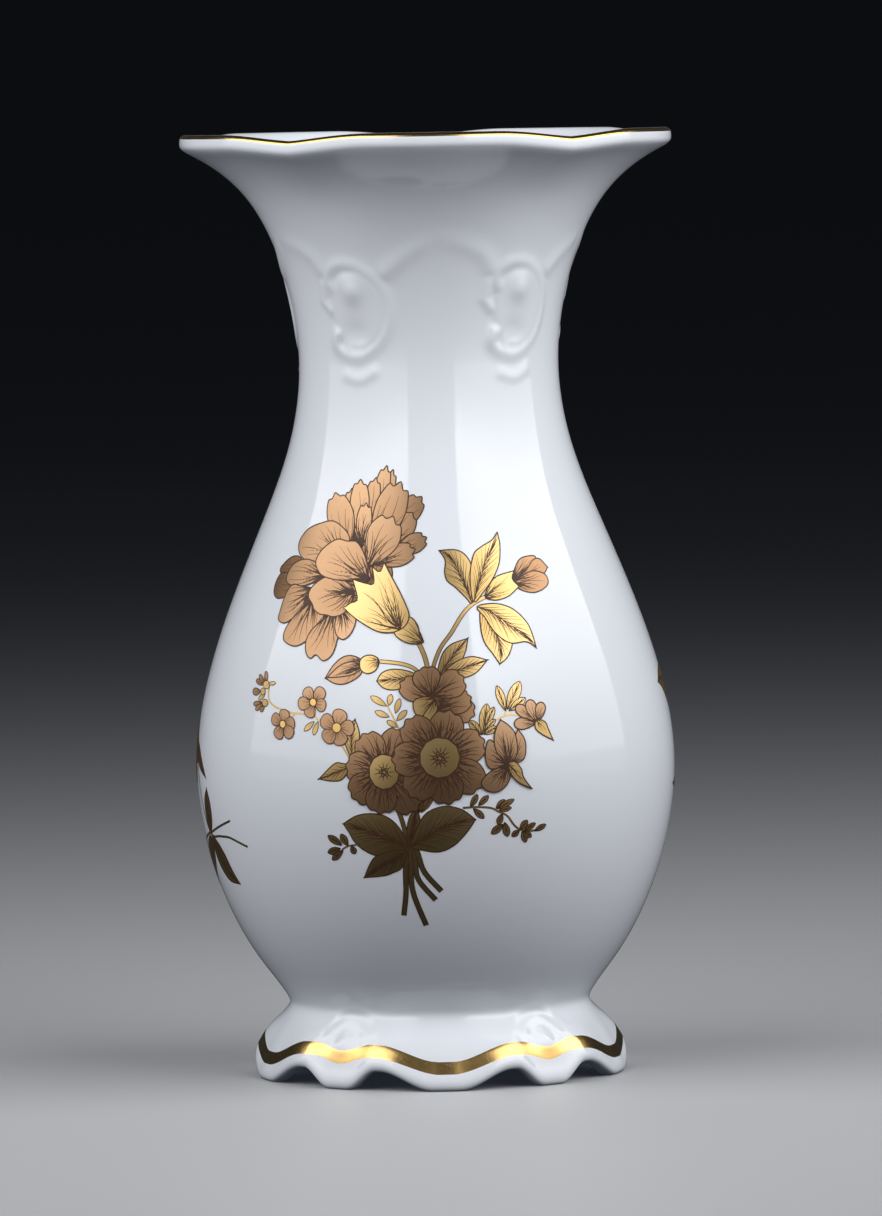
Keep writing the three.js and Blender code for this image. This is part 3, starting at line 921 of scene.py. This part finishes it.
def upper_foliage():
    """The carnation's gold calyx and knob, the stems, and the gold leaves round them."""
    d = Drawing("upper_foliage")
    d.stem([(-5, 95.5), (-3.4, 92), (-2.6, 88.6), (-2.2, 84)], 0.9, LEAF_GOLD)
    d.stem([
        (-2, 84.5), (-1.7, 88.6), (0, 93), (2.4, 96.2), (4.8, 99.8), (7.1, 102), (9.9, 103.4),
    ], 0.75, LEAF_GOLD)
    d.stem([(-12.6, 90.6), (-8.7, 90.2), (-6, 89.4), (-3.6, 87.6)], 0.7, LEAF_GOLD)
    d.lay(drawn(
        [(-4, 87), (-6.4, 88.5), (-9.7, 89), (-12.2, 88.3), *corner(-13.4, 86.6), (-12, 85.2), (-9.6, 84.8),
         (-6.4, 85.7)],
        [(-0.4, 87.4), (0.2, 91.4), (2.2, 93.8), *corner(5.8, 95), (5.2, 92.2), (3.6, 89.6)],
        [(0.4, 87.6), (3, 90.2), (6.4, 91.3), *corner(9.8, 90.5), (7.2, 87.9), (3.8, 86.9)],
    ), LEAF_GOLD, veins=7, width=0.22)
    d.lay(drawn(
        [(7, 102.2), (5.6, 103.4), (3.6, 105.4), (1.9, 106.8), (1.4, 108.6), (1.6, 111), *corner(0.4, 113),
         (3.6, 113.1), (5.6, 112.2), (6.9, 110.2), (7.1, 107.4)],
        [(7.3, 102.4), (6.7, 107.6), (7.6, 112), (9.4, 113.6), (11.6, 114.8), *corner(12.9, 116.4),
         (13.4, 113.8), (13.1, 110.2), (11.7, 107.2), (9.6, 104.5)],
        [(8.8, 100.9), (8.6, 97.4), (9.3, 94.2), (11, 91.8), *corner(12.5, 89.6), (14.4, 91.2), (15.4, 94.4),
         (13.6, 97.6), (11.2, 99.6)],
        [(8, 101.4), (12, 101.9), (15.7, 100.7), (18.7, 98), (20, 95.4), *corner(20.8, 92.6), (18.6, 93.9),
         (14.9, 93.8), (11.8, 95.9), (9.7, 99)],
    ), LEAF_GOLD, veins=9, width=0.22)
    d.lay(drawn(
        [(9.8, 103.3), (10.6, 105.4), (12.4, 107.4), *corner(16.4, 108.4), (15.9, 106.8),
         *corner(17.4, 105.2), (14.9, 103.3), (12, 102.6)],
    ), LEAF_GOLD, hatch=8, reach=0.8, width=0.22)
    d.level = CARNATION_FILMS
    d.lay(drawn(
        [(-3.4, 94.4), (-5.7, 94.1), (-8, 94.9), (-9.4, 96.4), (-8.4, 98.6), (-6, 99.5), (-4.5, 97.8),
         (-4.1, 95.6)],
    ), LEAF_GOLD, hatch=8, reach=0.85, width=0.24)
    d.lay(drawn(
        [(-8.2, 97), (-10.2, 96.4), (-13, 96.7), (-16, 98.2), (-18.6, 99.9), *corner(-20.3, 101.4),
         (-18.8, 102.4), (-17.2, 103.2), *corner(-18.2, 107.2), (-15.2, 106.4), (-13.5, 106.4),
         *corner(-13.8, 109.9), (-12.2, 108.7), *corner(-11.2, 110.7), (-9.7, 107.8), (-8.2, 105),
         (-7, 102.4), (-6.2, 100), (-6.8, 98.1)],
    ), LEAF_GOLD, hatch=19, reach=0.78, width=0.22)
    d.make()


def rosebud():
    """The closed bud at the upper right: two petals behind and one in front."""
    d = Drawing("rosebud")
    d.lay(drawn(
        [(15.7, 106.4), (16.2, 108), (17.7, 110.6), (20, 111.3), (21.8, 111), (21.4, 109), (19.4, 107.2)],
        [(16.6, 106.2), (19.4, 108.6), (21, 110.4), (22.7, 110.6), *corner(24.7, 108.8), (23.4, 107.4),
         (20, 106.4)],
        [(15.9, 106), (18.2, 107.3), (20.8, 108.2), (23.3, 107.7), (24.4, 106.8), (24.5, 105.4), (23, 104.3),
         (20.6, 103.8), (17.8, 104.5)],
    ), DEEP_COPPER, hatch=12, reach=0.85, width=0.32)
    d.make()


def nodding_bud():
    """The bud that hangs to the left on a curved stem, with its round gold calyx."""
    d = Drawing("nodding_bud", level=6)
    d.lay(drawn(
        [(-16.2, 90.4), (-18.4, 91.7), (-20.8, 91.4), (-23.1, 89.6), *corner(-24.9, 87.1), (-22.6, 86),
         (-20, 86.1), (-17, 87.8)],
        [(-16.4, 89.6), (-18.8, 90.5), (-21.6, 89.6), *corner(-24.5, 87.2), (-21.4, 87.4), (-18.4, 88)],
    ), PALE_COPPER, hatch=11, reach=0.85, width=0.3)
    d.lay(drawn(
        [(-12.8, 90.7), (-13.8, 91.7), (-15.5, 91.8), (-16.9, 90.8), (-16.8, 88.9), (-15.3, 88.1),
         (-13.5, 88.9)],
    ), LEAF_GOLD, hatch=8, reach=0.7, width=0.2)
    d.make()


def rose_cluster():
    """Two open roses and the flower above them, with the half-open flower at the right."""
    d = Drawing("rose_cluster", level=26)
    d.lay(disc((-0.8, 82.3), 1.9, 1.6), DARK_COPPER)
    d.lay(blades([
        (-1.4, 82.6, -8.3, 86.2, 5.0), (-0.6, 82.6, 6.6, 79.4, 5.2), (-1, 80.5, 6, 83, 4.8),
    ], pointed=0.0, narrow=0.5, ruffle=0.03), DEEP_COPPER, hatch=13, reach=0.85, width=0.34)
    d.lay(round_petals((-1.9, 83.4), [(2.2, 85.8), (-2.8, 86.6)], 2.7), DEEP_COPPER,
          hatch=13, reach=0.85, width=0.36)
    d.lay(drawn(
        [(-1.3, 82.9), (-3.6, 83.3), (-5.7, 82.4), (-5.6, 80.2), *corner(-4.4, 79), (-2.6, 80.8)],
        [(-1.3, 82.8), (-2.6, 81.2), (-3.8, 79.3), *corner(-2.4, 78.2), (-0.9, 80.7)],
    ), LEAF_GOLD, hatch=7, reach=0.8, width=0.24)
    left = (-12.2, 68)
    d.lay(round_petals(left, [(-9.6, 73.6), (-7.7, 62.6), (-7.4, 69)], 3.2), DEEP_COPPER,
          hatch=16, begin=0.3, reach=0.92, width=0.36)
    d.lay(round_petals(left, [(-15, 72.9), (-17.2, 68.8), (-16.6, 64.6), (-12.9, 62.6)], 3.1), DEEP_COPPER,
          hatch=17, begin=0.36, reach=0.92, width=0.4)
    d.lay(disc(left, 3.2, 3.6, wobble=0.015), LEAF_GOLD, edge=0.3)
    d.scribble(*squiggle(left, 1.0, 3, 0.24))
    d.scribble(*stamens(left, 1.0, 2.3, 11, 0.22))
    big = (-0.6, 70.8)
    d.lay(round_petals(big, [
        (0.9, 77.0), (-5.1, 76.0), (5.4, 73.0), (5.2, 66.7), (0.6, 64.6), (-4.7, 65.6), (-7.0, 70.6),
    ], 3.3), DEEP_COPPER, hatch=20, begin=0.4, reach=0.92, width=0.42)
    d.lay(disc(big, 4.15, 4.15, wobble=0.015), LEAF_GOLD, edge=0.34)
    d.scribble(*squiggle(big, 1.3, 3, 0.28))
    d.scribble(*stamens(big, 1.2, 2.6, 13, 0.26))
    d.lay(drawn(
        [(13.6, 69), (11.4, 72.8), (9.7, 74.2), (8.9, 72), (9, 69.6), (9.8, 68.3), (11.6, 68.2)],
        [(14.4, 69.2), (15.4, 72.4), (15.2, 74.4), *corner(16, 76.1), (17.4, 74), (17.6, 71.6), (16.9, 69.8)],
        [(13.8, 69), (11.4, 71.4), (10.8, 74.2), (11.3, 76.6), *corner(12.3, 78.2), (14.2, 76.8),
         (15.4, 75), (15.7, 71.4)],
        [(13.6, 68.4), (11, 68.2), (9, 67), (7.9, 65.4), (8.8, 63.9), (11, 63.4), (12.9, 64.4), (14, 66.2)],
    ), PALE_COPPER, hatch=11, reach=0.88, width=0.38)
    d.lay(drawn(
        [(13.6, 69), (15.1, 69.5), (16.5, 68), (17, 66.2), *corner(18.7, 63.9), (16.2, 65), (14.4, 66.8)],
    ), LEAF_GOLD, hatch=7, reach=0.8, width=0.2)
    d.make()


def small_sprig():
    """The fern at the left of the roses, and the leaflets and little copper flower at their right."""
    d = Drawing("small_sprig")
    d.stem([(-8.8, 76.6), (-9.9, 78.8), (-10.8, 80.6), (-11.3, 81.8)], 0.35, LEAF_GOLD, edge=0)
    d.stem([(8, 76.6), (11, 78), (13.4, 79.1), (16.3, 79), (18.6, 78.4)], 0.4, LEAF_GOLD, edge=0)
    d.stem([(13.3, 79), (13.7, 80.6)], 0.35, LEAF_GOLD, edge=0)
    d.lay(blades([
        (-11.4, 81.5, -14.8, 83.5, 1.3), (-11, 81.6, -10.4, 83.9, 1.2), (-9.6, 80, -8.6, 83, 1.2),
        (-10.9, 79.3, -13.9, 80.4, 1.2), (-9.4, 78.5, -7.2, 80.6, 1.2), (-9.3, 77.2, -11.4, 78.5, 1.1),
    ]), LEAF_GOLD, edge=0.16, apart=True)
    d.lay(blades([
        (8.2, 75.3, 5.7, 78.3, 1.8), (8.4, 75.3, 9.5, 81.6, 2.4), (9, 77, 11, 80.9, 1.5),
        (8.7, 76, 11.2, 78.4, 1.2), (8.7, 75.4, 11.5, 76.8, 1.4), (13.5, 80, 11.7, 85.2, 1.7),
        (13.8, 80.3, 16.8, 85.9, 2.5), (14.2, 80, 17.9, 82.5, 1.7),
    ]), LEAF_GOLD, edge=0.18, veins=4, width=0.14)
    d.lay(blades([
        (20, 77.6, 15.8, 80.9, 2.3), (20.3, 77.4, 18.6, 82, 2.4), (20.6, 77.4, 21.6, 81.4, 2.3),
        (20.2, 77.2, 15.3, 77.3, 2.4),
    ], pointed=0.0, narrow=0.5), PALE_COPPER, hatch=7, reach=0.85, width=0.22)
    d.lay(drawn(
        [(20.3, 77.9), (22.2, 77.4), (23, 75.8), *corner(24, 73.6), (21.6, 74.8), (20, 76.2)],
    ), LEAF_GOLD, hatch=4, reach=0.7, width=0.18)
    d.make()


def forget_me_nots():
    """Three little five-petalled flowers, their buds, and the leaves at the left of the roses."""
    d = Drawing("forget_me_nots")
    d.stem([
        (-40.4, 86), (-39.9, 84.6), (-40, 83.2), (-39.2, 81.6), (-36.8, 80.6), (-32.7, 79.8), (-28.4, 79.6),
        (-26.4, 78.2), (-23.4, 75.6), (-21.4, 73.4), (-19.4, 70.4),
    ], 0.42, LEAF_GOLD, edge=0)
    d.stem([(-34.6, 78.4), (-33.2, 79.2), (-32, 79.9)], 0.35, LEAF_GOLD, edge=0)
    d.lay(blades([
        (-27.7, 78.2, -30.2, 76.2, 1.1), (-26.8, 78.2, -27.9, 75.4, 1.1), (-41, 83.4, -43, 82.2, 1.0),
    ]), LEAF_GOLD, edge=0.16, apart=True)
    d.lay(drawn(
        [(-19.2, 71), (-20.8, 74.4), (-20.4, 76.8), *corner(-18.3, 78.7), (-17.4, 76), (-17.8, 73)],
        [(-19.6, 69), (-21.4, 69.7), (-23.2, 69.5), *corner(-26.7, 66.4), (-23.9, 66), (-21.4, 66.4)],
    ), LEAF_GOLD, veins=6, width=0.2)
    d.lay(blades([
        (-41.2, 85.2, -44, 86.1, 1.1), (-41, 85.3, -43, 87.2, 1.1), (-40.8, 85.4, -40.8, 88, 1.1),
        (-42.2, 83.9, -45, 83.7, 1.5), (-41.3, 81.6, -44.6, 81.2, 1.0), (-41.2, 81.5, -43.9, 80.1, 1.0),
        (-41, 81.3, -42.3, 79.8, 1.0),
    ], pointed=0.0, narrow=0.5), PALE_COPPER, edge=0.18, hatch=4, reach=0.9, width=0.16)
    calyces = [((-40.6, 85.3), 1.0, 0.85), ((-41.6, 83.9), 0.7, 0.7), ((-40.9, 81.6), 0.85, 0.75)]
    d.lay(np.concatenate([disc(*calyx) for calyx in calyces]), LEAF_GOLD, edge=0.16, apart=True)
    d.lay(blades([(-40, 85.5, -37.9, 85.8, 0.7)]), LEAF_GOLD, edge=0.14)
    for radius, eye, heart, *middles in (
        [1.25, 0.8, (-27.9, 82.1), (-29.1, 83.9), (-26.2, 84), (-26.1, 81.6), (-28.7, 80.2), (-30.4, 81.8)],
        [1.25, 0.8, (-35.7, 77.4), (-37.6, 78.3), (-35.3, 79.2), (-33.8, 77.6), (-34.1, 75.8), (-36.8, 75.6)],
        [1.5, 1.0, (-22.4, 77), (-21.7, 79.3), (-20, 77), (-21.7, 74.9), (-24.2, 75.3), (-24.6, 78.2)],
    ):
        petals = round_petals(heart, middles, radius, ruffle=0.0)
        d.lay(petals, PALE_COPPER, edge=0.2, hatch=5, reach=0.8, width=0.2)
        d.lay(disc(heart, eye, eye), BRIGHT_GOLD, edge=0.2)
    d.make()


def trailing_sprig():
    """A thin stem that trails to the lower right with leaflets on both sides."""
    d = Drawing("trailing_sprig")
    d.stem([
        (4, 60.3), (7, 60.4), (9.9, 60.1), (11.5, 59.3), (13.4, 58.3), (14.9, 56.3), (16.5, 55.2), (19.6, 55),
        (21.7, 56),
    ], 0.45, LEAF_GOLD, edge=0)
    d.lay(blades([
        (5.6, 60.4, 7.1, 63, 1.2), (7.3, 60.7, 9.4, 62.7, 1.2), (6.2, 60.1, 8.4, 58, 1.3),
        (11, 60, 12.9, 61.7, 1.2), (11.2, 59.9, 14.9, 61.7, 1.2), (11.6, 59.5, 14.3, 60, 1.0),
        (12.3, 58.8, 11.4, 56.6, 1.3), (12.4, 56.6, 10, 54.7, 1.5), (12.8, 57, 13.4, 54, 1.5),
        (16.1, 55.3, 17.8, 57.2, 1.3), (17.1, 55.1, 19.6, 56.5, 1.1), (16, 55.2, 14.4, 54, 1.2),
        (16.7, 55.1, 17.4, 52.6, 1.3), (17.2, 55, 18.6, 53.6, 1.1), (19.4, 54.9, 22, 56.1, 1.1),
    ]), LEAF_GOLD, edge=0.18, veins=2, width=0.14)
    d.make()


def lower_foliage():
    """The broad leaves under the roses, the cut stems, and the small sprig at the left."""
    d = Drawing("lower_foliage")
    for path in (
        [(-7, 53), (-8, 48.5), (-8, 42.6), (-8.5, 37.6)], [(-6.8, 53), (-6.9, 48.5), (-6.5, 42.6),
         (-3.8, 35.4)],
        [(-6.6, 53), (-6, 49.7), (-5.4, 45.4), (-1.8, 40.9)], [(-6.4, 53), (-5.4, 50.7), (-4.1, 46.9),
         (-0.6, 42.8)],
    ):
        d.stem(path, 0.95, LEAF_GOLD, edge=0.2)
    d.stem([(-9.4, 60), (-8.4, 57), (-7.5, 53)], 0.8, LEAF_GOLD, edge=0.2)
    d.stem([(-18.5, 52.7), (-20.4, 52.4), (-21.8, 51.6)], 0.35, LEAF_GOLD, edge=0)
    d.lay(blades([
        (-21.7, 52.6, -24.9, 54.5, 1.5), (-20.4, 52.5, -21.9, 54.9, 1.5), (-19.6, 52.4, -18.8, 50.8, 1.3),
        (-22.1, 51.9, -25, 50.9, 1.4), (-21.5, 51.5, -24, 49.4, 1.4), (-4.6, 59.5, -2.2, 63.2, 1.4),
        (-5, 59.5, -4.6, 63, 1.4),
    ]), LEAF_GOLD, edge=0.18, veins=2, width=0.14, apart=True)
    d.lay(drawn(
        [(-7.4, 52.6), (-7.6, 56), (-7, 58.6), *corner(-5.6, 60.8), (-4.9, 57.6), (-5.6, 54.6)],
        [(-7.6, 52.3), (-10.4, 51), (-14.1, 50.5), (-17, 51.7), (-18.9, 53.4), (-20, 55.2),
         *corner(-21.3, 57.1), (-18.4, 58.8), (-15, 59.3), (-11.6, 58.5), (-9, 55.9)],
        [(-7.8, 51.5), (-8.8, 48), (-10.6, 46.9), (-12.6, 46.2), *corner(-16.8, 45.8), (-15.8, 48.2),
         (-14.4, 50.2), (-11.4, 51.2)],
        [(-6.8, 52.4), (-4.4, 51.6), (-1, 51.2), (2.1, 52.5), (4.8, 55.2), *corner(6.6, 57.8), (3.7, 60),
         (0, 60.7), (-3.6, 59.3), (-5.6, 56)],
    ), LEAF_GOLD, veins=11, width=0.26)
    d.make()


# Where the middles of a spray flower's petals lie round its heart, on the left-hand side of the vase.
SPRAY_PETALS = np.array([(3, 4.2), (-2.4, 5), (-5, 0.4), (-2.6, -4.2), (2.8, -4.4), (5, 0)])


def spray_flower(d, heart, mirror, gold):
    """The open flower of a side spray: six round petals, a gold eye and a coil of line in it."""
    petals = np.array(heart) + SPRAY_PETALS * (mirror, 1)
    d.lay(round_petals(heart, petals, 2.9), gold, hatch=10, reach=0.85, width=0.36)
    d.lay(disc(heart, 2.4, 2.4), BRIGHT_GOLD)
    d.scribble(*squiggle(heart, 1.1, 4, 0.3))


def side_sprays():
    """The two sprays that begin at the vase's sides, a flower over leaves and thin stems."""
    left = Drawing("left_spray")
    left.stem([
        (-76, 74), (-72, 62), (-66.4, 53), (-59, 52.6), (-54.6, 52.6), (-47.6, 51.1),
    ], 0.5, LEAF_GOLD, edge=0)
    left.stem([(-65.6, 52.8), (-61, 54.2), (-53.8, 56.3)], 0.5, LEAF_GOLD, edge=0)
    left.stem([(-66, 53), (-74, 50.5), (-80, 46)], 0.6, LEAF_GOLD, edge=0)
    left.lay(drawn(
        [(-65, 53.2), (-67.2, 54.4), (-68.3, 57.4), (-67.9, 60.2), *corner(-65.8, 62.4), (-64, 59.4),
         (-63.6, 56)],
        [(-65, 52.4), (-62, 51.4), (-58.4, 49), (-55, 45.2), *corner(-52.4, 42.7), (-57, 42.9), (-60.6, 44.6),
         (-63.8, 47.8)],
        [(-66, 52.2), (-70, 50.6), (-75, 46.6), *corner(-80, 40.8), (-72, 41), (-67, 45), (-65, 49)],
        [(-79, 73), (-73.4, 67.6), (-69.6, 65.7), *corner(-66.1, 64.7), (-69.4, 68.2), (-73, 71.2)],
    ), LEAF_GOLD, veins=8, width=0.22)
    spray_flower(left, (-82, 70), 1, DEEP_COPPER)
    left.make()
    right = Drawing("right_spray")
    right.stem([(78, 88), (77, 80), (79, 70), (82, 60), (82, 54)], 0.6, LEAF_GOLD, edge=0)
    right.lay(drawn(
        [(77, 78.6), (80.4, 80), (83, 82), *corner(84.6, 80), (80, 76.6), (78, 76.4)],
        [(77.6, 78), (74.4, 77.4), (70.6, 79.4), (67.4, 81.6), *corner(63.8, 83), (67, 85.4), (72, 86),
         (76, 84)],
        [(79, 70), (83, 72), (87, 71), *corner(90, 67), (85, 66), (81, 67)],
        [(81, 61.4), (78, 61.8), (75, 62), *corner(71, 61.2), (74.6, 60.2), (78.6, 60)],
        [(82, 58), (85, 60), (89, 59), *corner(92, 55), (87, 54), (83.6, 55)],
    ), LEAF_GOLD, veins=8, width=0.22)
    spray_flower(right, (84, 91), -1, PALE_COPPER)
    right.lay(round_petals((88, 79), [
        (86, 81.6), (90.2, 82), (92, 79), (90, 76), (86, 76.2),
    ], 1.9), DEEP_COPPER, hatch=6, reach=0.8, width=0.3)
    right.lay(disc((88, 79), 1.3, 1.3), BRIGHT_GOLD)
    right.make()


for motif in (carnation, lower_foliage, forget_me_nots, small_sprig, trailing_sprig, rose_cluster,
              upper_foliage, rosebud, nodding_bud, side_sprays):
    motif()

# ---- The stage --------------------------------------------------------------------------------


def studio_floor():
    """A round pale floor that curves up into a backdrop, a profile carried round the axis."""
    turn = np.linspace(0, math.pi / 2, 24)
    sweep = np.stack([FLOOR_REACH + SWEEP_R * np.sin(turn), SWEEP_R * (1 - np.cos(turn))], axis=1)
    profile = np.concatenate([[(0.01, 0), (FLOOR_RING_R, 0)], sweep, [(FLOOR_REACH + SWEEP_R, BACKDROP_TOP)]])
    angle = np.linspace(0, 2 * math.pi, FLOOR_COLUMNS, endpoint=False)[None, :]
    r, z = profile[:, :1], profile[:, 1:] * np.ones_like(angle)
    points = np.stack([r * np.sin(angle), -r * np.cos(angle), z], axis=-1)
    faces = [grid_faces(len(profile), FLOOR_COLUMNS, wrap_columns=True)]
    floor = build("floor", points, faces, floor_finish())
    floor.visible_diffuse = False
    floor.visible_glossy = False


def aim(thing, target):
    """Turns a light or a camera so that its -Z axis points at a target and its Y axis is up."""
    back = np.array(thing.location) - np.array(target)
    thing.rotation_euler = Vector(back).to_track_quat("Z", "Y").to_euler()


def softbox_finish(name, strength):
    """A lit diffuser: dim along its foot, a clear step up, brightest half way up, then a little dimmer."""
    f = Finish(name)
    height = f.node("ShaderNodeSeparateXYZ", {}, {0: f.place()}, output="Z")
    rise = BOX_EDGE_SHARE * height.ramp(*BOX_EDGE) + (1 - BOX_EDGE_SHARE) * height.ramp(*BOX_RISE)
    glow = (BOX_DIM + (1 - BOX_DIM) * rise) * (1 - (1 - BOX_TOP) * height.ramp(*BOX_FALL))
    light = f.blend(glow, (0, 0, 0), (1, 1, 1))
    return f.shade(Base_Color=(0, 0, 0), Emission_Color=light, Emission_Strength=strength)


def softbox(name, azimuth, strength):
    """A tall diffuser that stands square to the vase, its azimuth measured from the camera's side."""
    a = math.radians(azimuth)
    across = np.linspace(-BOX_WIDTH / 2, BOX_WIDTH / 2, 3)[None, :]
    z = np.linspace(BOX_LOW, BOX_HIGH, 3)[:, None] * np.ones_like(across)
    x = BOX_DISTANCE * math.sin(a) + across * math.cos(a)
    y = -BOX_DISTANCE * math.cos(a) + across * math.sin(a)
    points = np.stack(np.broadcast_arrays(x, y, z), axis=-1)
    box = build(name, points, [grid_faces(3, 3)], softbox_finish(name, strength))
    box.visible_camera = False
    box.visible_shadow = False


def studio_lights():
    """A diffuser at each side of the camera, the right one a little brighter, and a faint cool surround."""
    softbox("left_softbox", -BOX_AZIMUTH, LEFT_SHARE * BOX_STRENGTH)
    softbox("right_softbox", BOX_AZIMUTH, RIGHT_SHARE * BOX_STRENGTH)
    world = bpy.data.worlds.new("studio")
    world.use_nodes = True
    surround = world.node_tree.nodes["Background"]
    surround.inputs["Color"].default_value = WORLD_COLOUR
    surround.inputs["Strength"].default_value = WORLD
    bpy.context.scene.world = world


def studio_camera():
    """A long lens at the height of the mouth, a touch off the vase's axis and a touch rolled."""
    data = bpy.data.cameras.new("camera")
    data.lens = LENS
    data.sensor_width = 36
    data.clip_start, data.clip_end = 0.05, 20
    camera = bpy.data.objects.new("camera", data)
    bpy.context.scene.collection.objects.link(camera)
    a = math.radians(CAMERA_TURN)
    side = np.array([math.cos(a), math.sin(a), 0]) * CAMERA_SIDE
    away = np.array([math.sin(a), -math.cos(a), 0]) * CAMERA_DISTANCE
    camera.location = away + side + np.array([0, 0, CAMERA_HEIGHT])
    aim(camera, side + np.array([0, 0, AIM_HEIGHT]))
    camera.rotation_euler.rotate_axis("Z", math.radians(CAMERA_ROLL))
    bpy.context.scene.camera = camera


studio_floor()
studio_lights()
studio_camera()

bpy.context.scene.view_settings.view_transform = "Standard"
